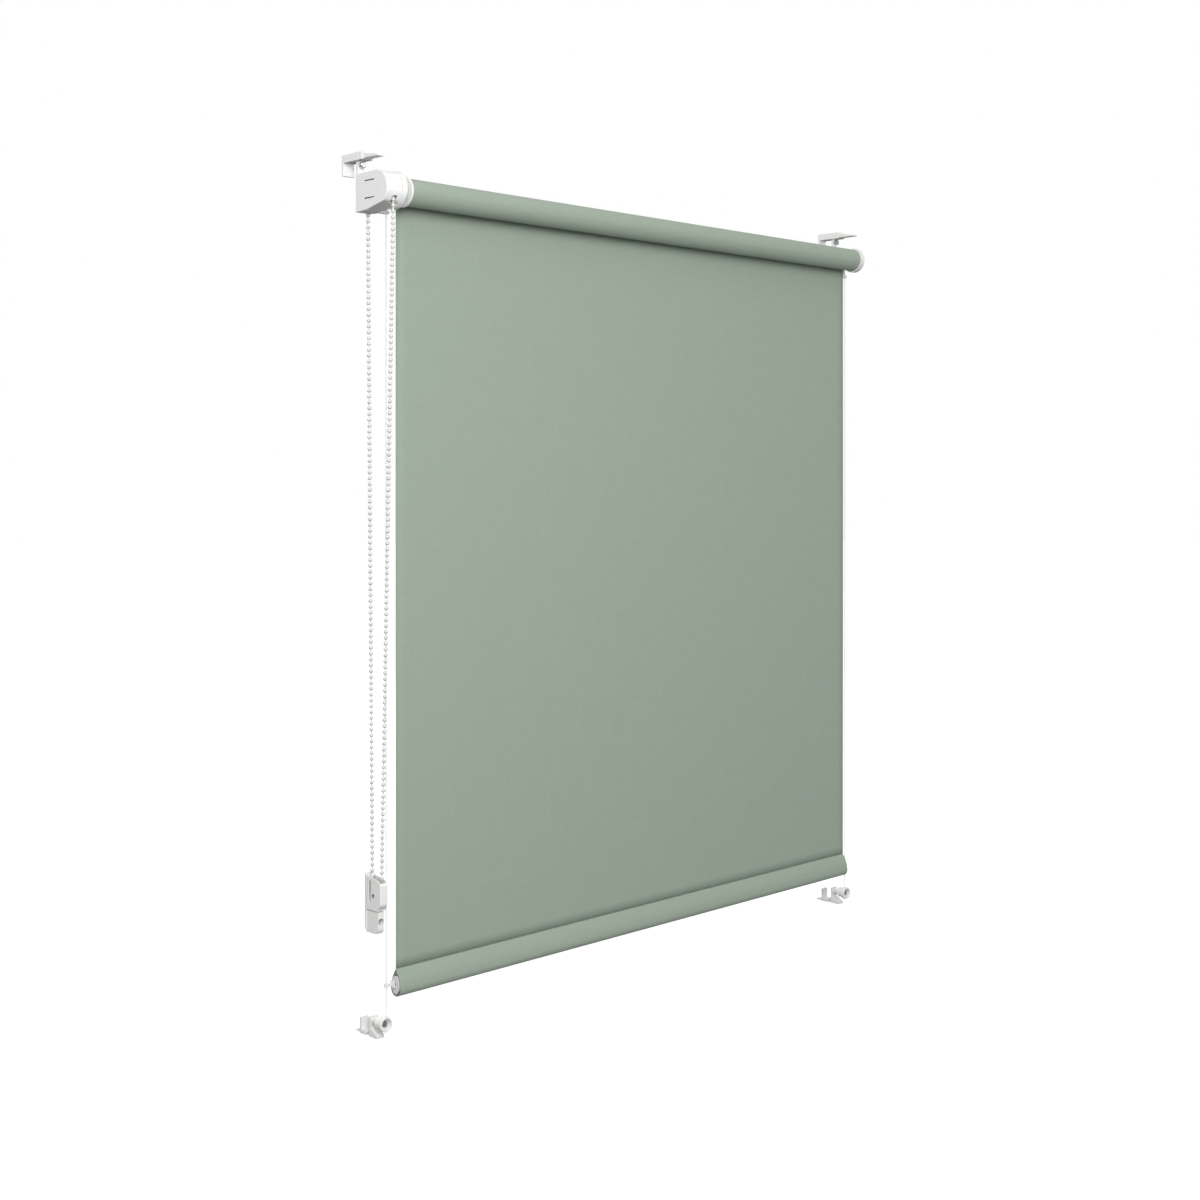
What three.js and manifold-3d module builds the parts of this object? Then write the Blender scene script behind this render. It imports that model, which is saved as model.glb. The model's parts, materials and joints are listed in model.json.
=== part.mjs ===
// A clamp-on roller blind with a side chain and side guide wires, in millimetres.
// X runs along the roller, +Y points to the window, +Z is up.
// The origin is the middle of the left top clamp's jaw, on the seat that rests on the sash.
import * as THREE from 'three';
import { mergeVertices } from 'three/addons/utils/BufferGeometryUtils.js';
import Module from 'manifold-3d';

// ---- driving dimensions ----
const CLOTH_WIDTH = 760;        // width of the cloth
const DROP = 804;               // roller axis to the seam of the hem
const CLOTH_T = 0.5;            // thickness of the cloth solid
const ROLL_R = 14.5;            // outside of the wound cloth
const TUBE_R = 12.5;            // roller tube
const TUBE_WALL = 1.0;
const GAP = 0.3;                // clearance between pieces that touch or slide

const SASH_GAP = 18;            // jaw opening of the top clamps
const SILL_GAP = 13;            // jaw opening of the bottom clamps
const CLOTH_FRONT = 20;         // cloth in front of the sash face
const AXIS_DROP = 32;           // roller axis below the clamp seat
const DRIVE_WIDTH = 19;         // drive cover along X
const CLOTH_START = 10;         // drive base to the cloth edge
const WHEEL_PITCH_R = 13.5;     // chain wheel
const CHAIN_D = 4.5;            // bead chain
const HOLDER_DROP = 755;        // seat to the pulley of the chain holder
const PULLEY_PITCH_R = 7.5;
const WIRE_D = 1.2;             // guide wire
const WIRE_OUT = 9.5;           // wire outside the cloth edge
const WIRE_BACK = 4;            // wire behind the cloth plane
const HEM_H = 28.5;             // hem pocket
const HEM_W = 16;
const HEM_WALL = 0.6;
const FOOT_DROP = 906;          // seat to the underside of the bottom clamps
const CLAMP_W = 14;             // top clamp sleeve
const SLEEVE_H = 8.2;
const SLEEVE_T = 1.8;
const LIP_T = 3;
const LIP_H = 13.5;
const LEG_T = 3;
const LEG_W = 8;
const SLEEVE_FRONT = 14;        // sleeve in front of the sash face
const LUG_LENGTH = 23;          // tapered lug in front of the sleeve
const FOOT_W = 10;              // bottom clamp
const FOOT_T = 3;
const FOOT_LIP_H = 17;
const KNOB_R = 8;
const KNOB_L = 12;
const COVER_WALL = 1.6;         // drive cover
const COVER_R = 18.5;
const BAR_WALL = 1.1;           // bottom bar
const CHAIN_SIDE = 0.35;        // chain to the cheeks of the wheel's groove
const CHEEK_T = 1.6;            // each cheek of the chain wheel
const PULLEY_SIDE = 0.25;       // chain to the cheeks of the pulley's groove
const PULLEY_CHEEK_T = 0.7;
const HOLDER_WALL = 1.4;

// ---- derived places ----
const FACE_Y = -SASH_GAP / 2;                                 // sash front face
const CLOTH_Y = FACE_Y - CLOTH_FRONT;
const AXIS_Y = CLOTH_Y - CLOTH_T / 2 - GAP - ROLL_R;
const AXIS_Z = -AXIS_DROP;
const COVER_X0 = -5;
const BASE_X0 = COVER_X0 + DRIVE_WIDTH + GAP;
const BASE_T = 4;
const BASE_X1 = BASE_X0 + BASE_T;
const CLOTH_X0 = BASE_X1 + CLOTH_START + 3.7;
const CLOTH_X1 = CLOTH_X0 + CLOTH_WIDTH;
const CHAIN_X = COVER_X0 + 12;
const CHAIN_FRONT_Y = AXIS_Y - WHEEL_PITCH_R;
const CHAIN_REAR_Y = FACE_Y - 5.3;
const GUIDE_R = 8.7;
const WIRE_Y = CLOTH_Y + WIRE_BACK;
const WIRE_X = [CLOTH_X0 - WIRE_OUT, CLOTH_X1 + WIRE_OUT];
const HEM_TOP = AXIS_Z - DROP;
const HEM_BOTTOM = HEM_TOP - HEM_H;
const DRIVE_REAR = FACE_Y - GAP;
const FOOT_Z = -FOOT_DROP;
const KNOB_Z = FOOT_Z + FOOT_T + 13.5;
const KNOB_Y = WIRE_Y + 4;                                    // rear face of the knob
const RIGHT_X = CLOTH_X1 + 5;                                 // centre of the right clamp
const IDLE_X0 = CLOTH_X1 + 3.7;

const wasm = await Module();
wasm.setup();
const blind = new THREE.Group();

// ---- helpers ----
const paint = (color, roughness, metalness = 0) =>
  () => new THREE.MeshStandardMaterial({ color, roughness, metalness });
const white = paint('#e9e9e6', 0.45);
const cloth = paint('#93a294', 0.9);
const alu = paint('#c2c5c7', 0.35, 1);
const steel = paint('#b4b6b8', 0.3, 1);
const pale = paint('#dcdcd8', 0.5);

function place(geometry, x, y, z) {
  geometry.translate(x, y, z);
  return geometry;
}

// A block from one corner to the opposite one.
function block(x0, x1, y0, y1, z0, z1) {
  const geometry = new THREE.BoxGeometry(x1 - x0, y1 - y0, z1 - z0);
  return place(geometry, (x0 + x1) / 2, (y0 + y1) / 2, (z0 + z1) / 2);
}

// A cylinder along X or Y, from one end to the other.
function rodX(radius, x0, x1, y, z, sides = 32) {
  const geometry = new THREE.CylinderGeometry(radius, radius, x1 - x0, sides);
  geometry.rotateZ(-Math.PI / 2);
  return place(geometry, (x0 + x1) / 2, y, z);
}
function rodY(radius, y0, y1, x, z, sides = 24) {
  const geometry = new THREE.CylinderGeometry(radius, radius, y1 - y0, sides);
  return place(geometry, x, (y0 + y1) / 2, z);
}
function rodZ(radius, z0, z1, x, y, sides = 12) {
  const geometry = new THREE.CylinderGeometry(radius, radius, z1 - z0, sides);
  geometry.rotateX(Math.PI / 2);
  return place(geometry, x, y, (z0 + z1) / 2);
}

// A ring of (radius, along) points turned round an axis along X or Y.
// The profile is turned the way that makes the faces point out.
function turned(points, sides = 40) {
  const outline = points.map(([radius, along]) => new THREE.Vector2(radius, along));
  if (THREE.ShapeUtils.area(outline) < 0) outline.reverse();
  return new THREE.LatheGeometry(outline, sides);
}
function turnedX(points, y, z, sides) {
  const geometry = turned(points, sides);
  geometry.rotateZ(-Math.PI / 2);
  return place(geometry, 0, y, z);
}
function turnedY(points, x, z, sides) {
  return place(turned(points, sides), x, 0, z);
}

// A prism along X of an outline in (y, z), which may have holes.
function prismX(outline, x0, x1, holes = [], curveSegments = 10) {
  const shape = outline instanceof THREE.Shape ? outline : corners(outline);
  shape.holes = holes;
  const geometry = new THREE.ExtrudeGeometry(shape, {
    depth: x1 - x0, bevelEnabled: false, curveSegments,
  });
  geometry.rotateX(Math.PI / 2);
  geometry.rotateZ(Math.PI / 2);
  return place(geometry, x0, 0, 0);
}
function corners(points) {
  return new THREE.Shape(points.map(([y, z]) => new THREE.Vector2(y, z)));
}

function solid(geometry) {
  const bare = geometry.index ? geometry.toNonIndexed() : geometry.clone();
  bare.deleteAttribute('normal');
  bare.deleteAttribute('uv');
  const merged = mergeVertices(bare, 1e-4);
  return new wasm.Manifold(new wasm.Mesh({
    numProp: 3,
    vertProperties: new Float32Array(merged.attributes.position.array),
    triVerts: new Uint32Array(merged.index.array),
  }));
}

// Joins the first list of geometries and cuts the second list from them.
function cut(joined, removed = []) {
  let result = solid(joined[0]);
  for (const geometry of joined.slice(1)) result = result.add(solid(geometry));
  for (const geometry of removed) result = result.subtract(solid(geometry));
  const mesh = result.getMesh();
  const geometry = new THREE.BufferGeometry();
  geometry.setAttribute('position', new THREE.BufferAttribute(mesh.vertProperties, 3));
  geometry.setIndex(new THREE.BufferAttribute(mesh.triVerts, 1));
  return geometry;
}

function add(name, geometry, material) {
  const mesh = new THREE.Mesh(geometry, material());
  mesh.name = name;
  blind.add(mesh);
}

// ---- top clamps ----
const LEG_Y0 = FACE_Y - LEG_T;
const TONGUE_TOP = SLEEVE_H - SLEEVE_T - GAP;
const SLEEVE_Y0 = FACE_Y - SLEEVE_FRONT;
const LUG_Y0 = SLEEVE_Y0 - LUG_LENGTH;
const TONGUE_W = CLAMP_W - 2 * SLEEVE_T - 2 * GAP;
const LIP_Y0 = SASH_GAP / 2;
const SCREW_R = 2;
const SCREW_Z = -4.5;

function topClamp(side, x, legBottom) {
  const half = CLAMP_W / 2;
  const inner = half - SLEEVE_T;
  const tongue = TONGUE_W / 2;
  const hook = cut([
    block(x - half, x + half, SLEEVE_Y0, LIP_Y0 + LIP_T, 0, SLEEVE_H),
    block(x - half, x + half, LIP_Y0, LIP_Y0 + LIP_T, -LIP_H, 1),
  ], [
    block(x - inner, x + inner, SLEEVE_Y0 - 1, LIP_Y0 - 1.5, -1, SLEEVE_H - SLEEVE_T),
  ]);
  add(`${side}_clamp_hook`, hook, white);

  // The lug tapers in height and width to its front end.
  const lug = prismX([
    [SLEEVE_Y0 + 1, 1.2], [SLEEVE_Y0 + 1, TONGUE_TOP], [LUG_Y0, 2.6], [LUG_Y0, 1.2],
  ], x - tongue, x + tongue);
  const bracket = cut([
    block(x - tongue, x + tongue, SLEEVE_Y0, LIP_Y0 - 7, 1.2, TONGUE_TOP),
    lug,
    block(x - LEG_W / 2, x + LEG_W / 2, LEG_Y0, FACE_Y, legBottom, 3),
  ], [rodY(SCREW_R + GAP, LEG_Y0 - 1, FACE_Y + 1, x, SCREW_Z, 16)]);
  add(`${side}_clamp_bracket`, bracket, white);

  const head = turnedY([
    [0, LEG_Y0 - 5.5], [2.2, LEG_Y0 - 5.5], [3.2, LEG_Y0 - 4.8], [3.2, LEG_Y0 - GAP],
    [SCREW_R, LEG_Y0 - GAP], [SCREW_R, FACE_Y - GAP], [0, FACE_Y - GAP],
  ], x, SCREW_Z, 18);
  const slot = block(x - 4, x + 4, LEG_Y0 - 6, LEG_Y0 - 4.4, SCREW_Z - 0.5, SCREW_Z + 0.5);
  add(`${side}_clamp_screw`, cut([head], [slot]), steel);
}
const LEG_BOTTOM = AXIS_Z - 12;
topClamp('left', 0, LEG_BOTTOM);
topClamp('right', RIGHT_X, LEG_BOTTOM);

// ---- drive unit ----
const COVER_TOP = AXIS_Z + COVER_R;
const COVER_BOTTOM_REAR = AXIS_Z - 21;
function coverOutline(inset) {
  const shape = new THREE.Shape();
  const rear = DRIVE_REAR - inset;
  const top = COVER_TOP - inset;
  const low = COVER_BOTTOM_REAR + inset;
  const radius = COVER_R - inset;
  const end = -2.25;                       // angle where the front arc meets the slanted edge
  shape.moveTo(rear - 3, top);
  shape.lineTo(AXIS_Y, top);
  shape.absarc(AXIS_Y, AXIS_Z, radius, Math.PI / 2, Math.PI * 2 + end, false);
  shape.lineTo(AXIS_Y + COVER_R - 3.75, low + 1);
  shape.lineTo(DRIVE_REAR - 9, low);
  shape.lineTo(rear, low);
  shape.lineTo(rear, top - 3);
  shape.quadraticCurveTo(rear, top, rear - 3, top);
  return shape;
}
const COVER_X1 = COVER_X0 + DRIVE_WIDTH;
const NOZZLE_R = CHAIN_D / 2 + 1;
const SLOT_L = 17;
const EXIT_HALF = CHAIN_D / 2 + 0.75;
const frontExit = block(CHAIN_X - EXIT_HALF, CHAIN_X + EXIT_HALF,
  CHAIN_FRONT_Y - EXIT_HALF, CHAIN_FRONT_Y + 5, AXIS_Z - 25, AXIS_Z - 4);
const legPocket = block(-LEG_W / 2 - GAP, LEG_W / 2 + GAP, LEG_Y0 - GAP, FACE_Y + 1,
  LEG_BOTTOM - GAP, 1);
const coverSlots = [9.5, -8.5].map((rise) => block(COVER_X0 - 1, COVER_X0 + 0.7,
  DRIVE_REAR - 31.5, DRIVE_REAR - 31.5 + SLOT_L, AXIS_Z + rise - 0.6, AXIS_Z + rise + 0.6));
add('drive_cover', cut([
  prismX(coverOutline(0), COVER_X0, COVER_X1),
], [
  prismX(coverOutline(COVER_WALL), COVER_X0 + COVER_WALL, COVER_X1 + 1),
  rodZ(NOZZLE_R, COVER_BOTTOM_REAR - 5, COVER_BOTTOM_REAR + 5, CHAIN_X, CHAIN_REAR_Y, 16),
  frontExit,
  legPocket,
  ...coverSlots,
]), white);

const HUB_R = 9.4;
const LUG_Z = AXIS_Z - 20;
const WIRE_LUG = 2.5;            // half the width of the lug round the wire
const WIRE_LUG_T = 1.5;          // half its thickness
const baseOutline = coverOutline(0.8);
add('drive_base', cut([
  prismX(baseOutline, BASE_X0, BASE_X1),
  rodX(COVER_R + 1.2, BASE_X0, BASE_X1 + 2, AXIS_Y, AXIS_Z, 40),
  rodX(GUIDE_R - CHAIN_D / 2 - GAP, CHAIN_X - EXIT_HALF - 0.4, BASE_X0 + 1,
    CHAIN_REAR_Y - GUIDE_R, AXIS_Z + WHEEL_PITCH_R - GUIDE_R, 24),
  block(BASE_X0, WIRE_X[0] + WIRE_LUG, WIRE_Y - WIRE_LUG, WIRE_Y + WIRE_LUG,
    LUG_Z - WIRE_LUG_T, LUG_Z + WIRE_LUG_T),
], [
  rodX(HUB_R + 0.6, BASE_X0 - 1, BASE_X1 + 3, AXIS_Y, AXIS_Z, 40),
  legPocket,
  rodZ(WIRE_D / 2 + GAP, LUG_Z - 5, LUG_Z + 5, WIRE_X[0], WIRE_Y, 12),
]), white);

const WHEEL_FLANGE_R = 14.9;
const GROOVE_R = WHEEL_PITCH_R - CHAIN_D / 2 - GAP;
const GROOVE_HALF = CHAIN_D / 2 + CHAIN_SIDE;
const WHEEL_HALF = GROOVE_HALF + CHEEK_T;
const HUB_BORE = 6.3;
const HUB_X1 = CLOTH_X0 - 2;
add('chain_wheel', turnedX([
  [HUB_BORE, CHAIN_X - WHEEL_HALF], [WHEEL_FLANGE_R, CHAIN_X - WHEEL_HALF],
  [WHEEL_FLANGE_R, CHAIN_X - GROOVE_HALF], [GROOVE_R, CHAIN_X - GROOVE_HALF],
  [GROOVE_R, CHAIN_X + GROOVE_HALF], [WHEEL_FLANGE_R, CHAIN_X + GROOVE_HALF],
  [WHEEL_FLANGE_R, CHAIN_X + WHEEL_HALF], [HUB_R, CHAIN_X + WHEEL_HALF],
  [HUB_R, HUB_X1], [HUB_BORE, HUB_X1], [HUB_BORE, CHAIN_X - WHEEL_HALF],
], AXIS_Y, AXIS_Z, 36), pale);

const SPINDLE_R = 4;
const SPINDLE_X1 = CLOTH_X0 + 16;
const SPINDLE_X0 = COVER_X0 + COVER_WALL + GAP;
add('drive_spindle', turnedX([
  [0, SPINDLE_X0], [9, SPINDLE_X0], [9, SPINDLE_X0 + 2], [SPINDLE_R, SPINDLE_X0 + 2],
  [SPINDLE_R, SPINDLE_X1], [0, SPINDLE_X1],
], AXIS_Y, AXIS_Z, 24), steel);

// A wrap spring of square wire between the spindle and the hub's bore.
class Helix extends THREE.Curve {
  constructor(radius, pitch, turns, x0) {
    super();
    Object.assign(this, { radius, pitch, turns, x0 });
  }
  getPoint(t) {
    const angle = t * this.turns * 2 * Math.PI;
    return new THREE.Vector3(this.x0 + t * this.turns * this.pitch,
      AXIS_Y + this.radius * Math.cos(angle), AXIS_Z + this.radius * Math.sin(angle));
  }
}
const SPRING_WIRE = 1.2;
const SPRING_TURNS = 6;
const springCurve = new Helix((SPINDLE_R + HUB_BORE) / 2, 1.8, SPRING_TURNS, CHAIN_X + 1);
const SPRING_HALF = SPRING_WIRE / 2;
const springSection = corners([
  [-SPRING_HALF, -SPRING_HALF], [SPRING_HALF, -SPRING_HALF],
  [SPRING_HALF, SPRING_HALF], [-SPRING_HALF, SPRING_HALF],
]);
add('wrap_spring', new THREE.ExtrudeGeometry(springSection, {
  steps: SPRING_TURNS * 12, extrudePath: springCurve, bevelEnabled: false,
}), steel);

// ---- roller ----
const PLUG_R = TUBE_R - TUBE_WALL - GAP;
const FLANGE_R = ROLL_R + 1.5;
const FLANGE_T = 2.5;
const PLUG_L = 24;
const DRIVE_FLANGE_X = CLOTH_X0 - FLANGE_T - 0.5;
add('drive_plug', turnedX([
  [HUB_R + GAP, DRIVE_FLANGE_X], [FLANGE_R, DRIVE_FLANGE_X],
  [FLANGE_R, DRIVE_FLANGE_X + FLANGE_T], [PLUG_R, DRIVE_FLANGE_X + FLANGE_T],
  [PLUG_R, CLOTH_X0 + PLUG_L], [SPINDLE_R + 0.6, CLOTH_X0 + PLUG_L],
  [SPINDLE_R + 0.6, HUB_X1 + GAP], [HUB_R + GAP, HUB_X1 + GAP], [HUB_R + GAP, DRIVE_FLANGE_X],
], AXIS_Y, AXIS_Z), white);

const tubeRing = (inner, outer, x0, x1) =>
  [[inner, x0], [outer, x0], [outer, x1], [inner, x1], [inner, x0]];
add('roller_tube', turnedX(tubeRing(TUBE_R - TUBE_WALL, TUBE_R, CLOTH_X0, CLOTH_X1),
  AXIS_Y, AXIS_Z), alu);
add('wound_cloth', turnedX(tubeRing(TUBE_R + GAP, ROLL_R, CLOTH_X0, CLOTH_X1),
  AXIS_Y, AXIS_Z, 48), cloth);

const PIN_R = 3;
const IDLE_FLANGE_X = CLOTH_X1 + 0.5;
add('idle_plug', turnedX([
  [PIN_R + GAP, CLOTH_X1 - PLUG_L], [PLUG_R, CLOTH_X1 - PLUG_L], [PLUG_R, IDLE_FLANGE_X],
  [FLANGE_R, IDLE_FLANGE_X], [FLANGE_R, IDLE_FLANGE_X + FLANGE_T],
  [PIN_R + GAP, IDLE_FLANGE_X + FLANGE_T], [PIN_R + GAP, CLOTH_X1 - PLUG_L],
], AXIS_Y, AXIS_Z), white);

const IDLE_T = 4;
const PIN_X1 = IDLE_X0 + IDLE_T - 1;
const PIN_HEAD_R = 4.5;
add('idle_pin', turnedX([
  [0, CLOTH_X1 - 14], [PIN_R, CLOTH_X1 - 14], [PIN_R, IDLE_X0 - GAP], [PIN_HEAD_R, IDLE_X0 - GAP],
  [PIN_HEAD_R, IDLE_X0 + 2], [PIN_R, IDLE_X0 + 2], [PIN_R, PIN_X1], [0, PIN_X1],
], AXIS_Y, AXIS_Z, 24), steel);

// The idle bracket: a plate on the roller's axis with an arm back to the clamp's leg.
const ARM_TOP = AXIS_Z + 9;
const ARM_BOTTOM = AXIS_Z - 11;
const rightPocket = block(RIGHT_X - LEG_W / 2 - GAP, RIGHT_X + LEG_W / 2 + GAP,
  LEG_Y0 - GAP, FACE_Y + 1, LEG_BOTTOM - GAP, 1);
const ARM_WALL = 2.5;
const armX1 = RIGHT_X + LEG_W / 2 + ARM_WALL;
add('idle_bracket', cut([
  rodX(FLANGE_R, IDLE_X0 + GAP, IDLE_X0 + IDLE_T, AXIS_Y, AXIS_Z, 40),
  block(IDLE_X0 + GAP, armX1, FACE_Y - 9, FACE_Y - GAP, LEG_BOTTOM - ARM_WALL, ARM_TOP),
  block(RIGHT_X - LEG_W / 2 - ARM_WALL, armX1, FACE_Y - 9, FACE_Y - GAP,
    LEG_BOTTOM - ARM_WALL, ARM_TOP),
  block(IDLE_X0 + GAP, IDLE_X0 + IDLE_T, AXIS_Y, FACE_Y - 5, ARM_BOTTOM, ARM_TOP),
  block(IDLE_X0 + GAP, WIRE_X[1] + WIRE_LUG, WIRE_Y - WIRE_LUG, WIRE_Y + WIRE_LUG,
    LUG_Z - WIRE_LUG_T, LUG_Z + WIRE_LUG_T),
  block(IDLE_X0 + GAP, IDLE_X0 + IDLE_T, WIRE_Y - WIRE_LUG, WIRE_Y + WIRE_LUG,
    LUG_Z - WIRE_LUG_T, ARM_TOP),
], [
  rodX(PIN_HEAD_R + GAP, IDLE_X0 - 1, IDLE_X0 + 2 + GAP, AXIS_Y, AXIS_Z, 24),
  rodX(PIN_R + GAP, IDLE_X0 - 1, IDLE_X0 + IDLE_T + 1, AXIS_Y, AXIS_Z, 24),
  rightPocket,
  rodZ(WIRE_D / 2 + GAP, LUG_Z - 5, LUG_Z + 5, WIRE_X[1], WIRE_Y, 12),
]), white);

// ---- cloth panel, hem and bottom bar ----
add('cloth_panel', block(CLOTH_X0, CLOTH_X1, CLOTH_Y - CLOTH_T / 2, CLOTH_Y + CLOTH_T / 2,
  HEM_TOP + GAP, AXIS_Z), cloth);

// The teardrop outline of the hem, whose apex is under the panel.
function teardrop(inset) {
  const half = HEM_W / 2 - inset;
  const bottom = HEM_BOTTOM + inset;
  const top = HEM_TOP - inset * 2.6;
  const shape = new THREE.Shape();
  shape.moveTo(CLOTH_Y - 0.25, top);
  shape.quadraticCurveTo(CLOTH_Y - half, top - HEM_H * 0.35, CLOTH_Y - half, bottom + half);
  shape.absarc(CLOTH_Y, bottom + half, half, Math.PI, 2 * Math.PI, false);
  shape.quadraticCurveTo(CLOTH_Y + half, top - HEM_H * 0.35, CLOTH_Y + 0.25, top);
  shape.closePath();
  return shape;
}
add('hem_pocket', cut([prismX(teardrop(0), CLOTH_X0, CLOTH_X1)],
  [prismX(teardrop(HEM_WALL), CLOTH_X0 - 1, CLOTH_X1 + 1)]), cloth);
const BAR_INSET = HEM_WALL + GAP;
const CAP_PLUG_L = 12;
add('bottom_bar', cut([prismX(teardrop(BAR_INSET), CLOTH_X0 + 1, CLOTH_X1 - 1)],
  [prismX(teardrop(BAR_INSET + BAR_WALL), CLOTH_X0, CLOTH_X1)]), alu);

// The caps are ovals, so the bar stays open above and below them.
const CAP_Z = HEM_TOP - 16.5;
const CAP_HALF_W = HEM_W / 2 - BAR_INSET - 0.9;
const CAP_HALF_H = HEM_H / 3;
const PLUG_IN = BAR_WALL + 0.5;  // plug inside the cap's edge at the sides
const PLUG_UP = BAR_WALL + 1.4;  // and above and below
function oval(halfWidth, halfHeight) {
  const shape = new THREE.Shape();
  shape.absellipse(CLOTH_Y, CAP_Z, halfWidth, halfHeight, 0, 2 * Math.PI);
  return shape;
}
const EYE_Z = HEM_TOP - 16;
const EYE_R = 2.2;
const EYE_HALF = 1.4;            // half the height of the eyelet's arm
const PAD_HALF = 3.5;            // half the height of the pad on the cap
const CAP_T = 1.6;
const CAP_OUT = 0.7;             // cap outside the cloth edge
const span = (a, b) => [Math.min(a, b), Math.max(a, b)];
[['left', CLOTH_X0, -1, WIRE_X[0]], ['right', CLOTH_X1, 1, WIRE_X[1]]].forEach(
  ([side, edge, out, wireX]) => {
    const outer = edge + out * CAP_OUT;
    add(`${side}_end_cap`, cut([
      prismX(oval(CAP_HALF_W, CAP_HALF_H), ...span(outer, outer - out * CAP_T)),
      prismX(oval(CAP_HALF_W - PLUG_IN, CAP_HALF_H - PLUG_UP),
        ...span(outer - out * CAP_T / 2, edge - out * CAP_PLUG_L)),
    ], [rodX(1.2, edge - 30, edge + 30, CLOTH_Y, EYE_Z, 16)]), pale);

    const armIn = outer + out * GAP;
    add(`${side}_eyelet`, cut([
      block(...span(armIn, wireX), WIRE_Y - 1.2, WIRE_Y + 1.2, EYE_Z - EYE_HALF, EYE_Z + EYE_HALF),
      rodZ(EYE_R, EYE_Z - EYE_R, EYE_Z + EYE_R, wireX, WIRE_Y, 20),
      block(...span(armIn, armIn + out * 1.5), WIRE_Y - 4.2, WIRE_Y + 2,
        EYE_Z - PAD_HALF, EYE_Z + PAD_HALF),
    ], [rodZ(WIRE_D / 2 + GAP, EYE_Z - 5, EYE_Z + 5, wireX, WIRE_Y, 16)]), white);
  });

// ---- bottom clamps with tension knobs, and the guide wires ----
const SPOOL_R = 4.5;
const RAIL_HALF = 3;
const SPOOL_FLANGE_R = 6.6;
function bottomClamp(side, x) {
  const half = FOOT_W / 2;
  const top = FOOT_Z + FOOT_T;
  const front = KNOB_Y - 2;
  // The body's front leg rises from a gusset to the boss that carries the knob.
  const leg = prismX([
    [FACE_Y, FOOT_Z], [FACE_Y, KNOB_Z + 4.5], [FACE_Y - LEG_T, KNOB_Z + 4.5],
    [FACE_Y - LEG_T, top + 6], [front, top], [front, FOOT_Z],
  ], x - half, x + half);
  const boss = rodY(4, KNOB_Y + GAP, FACE_Y - 1, x, KNOB_Z, 24);
  const rail = block(x - RAIL_HALF, x + RAIL_HALF, FACE_Y - 1, SILL_GAP + FACE_Y + 12,
    FOOT_Z, FOOT_Z + FOOT_T - 1);
  const pinHole = rodY(1.8, KNOB_Y - 4, KNOB_Y + 9, x, KNOB_Z, 16);
  add(`${side}_foot_body`, cut([leg, boss, rail], [pinHole]), white);

  // The rear jaw wraps over the rail and slides on it.
  const jawY = FACE_Y + SILL_GAP;
  const jaw = cut([
    block(x - half, x + half, jawY, jawY + LIP_T, FOOT_Z + GAP, FOOT_Z + FOOT_LIP_H),
    block(x - half, x + half, jawY - 8, jawY + LIP_T, FOOT_Z, FOOT_Z + FOOT_T + 1.2),
  ], [
    block(x - RAIL_HALF - GAP, x + RAIL_HALF + GAP, jawY - 20, jawY + 20,
      FOOT_Z - 1, FOOT_Z + FOOT_T - 1 + GAP),
  ]);
  add(`${side}_foot_jaw`, jaw, white);

  // The knob is a spool behind and a dial with a deep recess in front.
  const knob = turnedY([
    [2.1, KNOB_Y], [SPOOL_FLANGE_R, KNOB_Y], [SPOOL_FLANGE_R, KNOB_Y - 1.6], [SPOOL_R, KNOB_Y - 2.2],
    [SPOOL_R, KNOB_Y - 5.8], [SPOOL_FLANGE_R, KNOB_Y - 6.4], [KNOB_R, KNOB_Y - 6.6],
    [KNOB_R, KNOB_Y - KNOB_L + 0.6], [KNOB_R - 0.6, KNOB_Y - KNOB_L], [5.8, KNOB_Y - KNOB_L],
    [5.2, KNOB_Y - KNOB_L + 4.5], [2.1, KNOB_Y - KNOB_L + 4.5], [2.1, KNOB_Y],
  ], x, KNOB_Z, 28);
  add(`${side}_knob`, knob, white);
  const headY = KNOB_Y - KNOB_L + 4.5 - GAP;
  add(`${side}_knob_screw`, turnedY([
    [0, headY - 1.6], [3.2, headY - 1.6], [3.4, headY], [1.5, headY],
    [1.5, KNOB_Y + 8], [0, KNOB_Y + 8],
  ], x, KNOB_Z, 16), steel);
}
bottomClamp('left', WIRE_X[0] - SPOOL_R - WIRE_D / 2 - GAP);
bottomClamp('right', WIRE_X[1] - SPOOL_R - WIRE_D / 2 - GAP);
['left', 'right'].forEach((side, i) => {
  const wire = rodZ(WIRE_D / 2, KNOB_Z, LUG_Z + 2.5, WIRE_X[i], WIRE_Y, 8);
  const knot = rodZ(1.4, LUG_Z + WIRE_LUG_T + GAP, LUG_Z + 4, WIRE_X[i], WIRE_Y, 10);
  add(`${side}_guide_wire`, cut([wire, knot]), pale);
});

// ---- bead chain loop ----
const PULLEY_Y = CLOTH_Y - 1;
const PULLEY_Z = -HOLDER_DROP;
const GUIDE_Y = CHAIN_REAR_Y - GUIDE_R;
const GUIDE_Z = AXIS_Z + WHEEL_PITCH_R - GUIDE_R;
function arcPoints(y, z, radius, from, to, count) {
  const list = [];
  for (let i = 0; i <= count; i += 1) {
    const angle = from + (to - from) * i / count;
    list.push([y + radius * Math.cos(angle), z + radius * Math.sin(angle)]);
  }
  return list;
}
const route = [
  [PULLEY_Y - 1.2, PULLEY_Z - PULLEY_PITCH_R],
  ...arcPoints(PULLEY_Y, PULLEY_Z, PULLEY_PITCH_R, -1.9, -Math.PI, 5),
  ...arcPoints(AXIS_Y, AXIS_Z, WHEEL_PITCH_R, Math.PI, Math.PI / 2, 8),
  ...arcPoints(GUIDE_Y, GUIDE_Z, GUIDE_R, Math.PI / 2, 0, 6),
  ...arcPoints(PULLEY_Y, PULLEY_Z, PULLEY_PITCH_R, 0, -1.35, 6),
];
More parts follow.
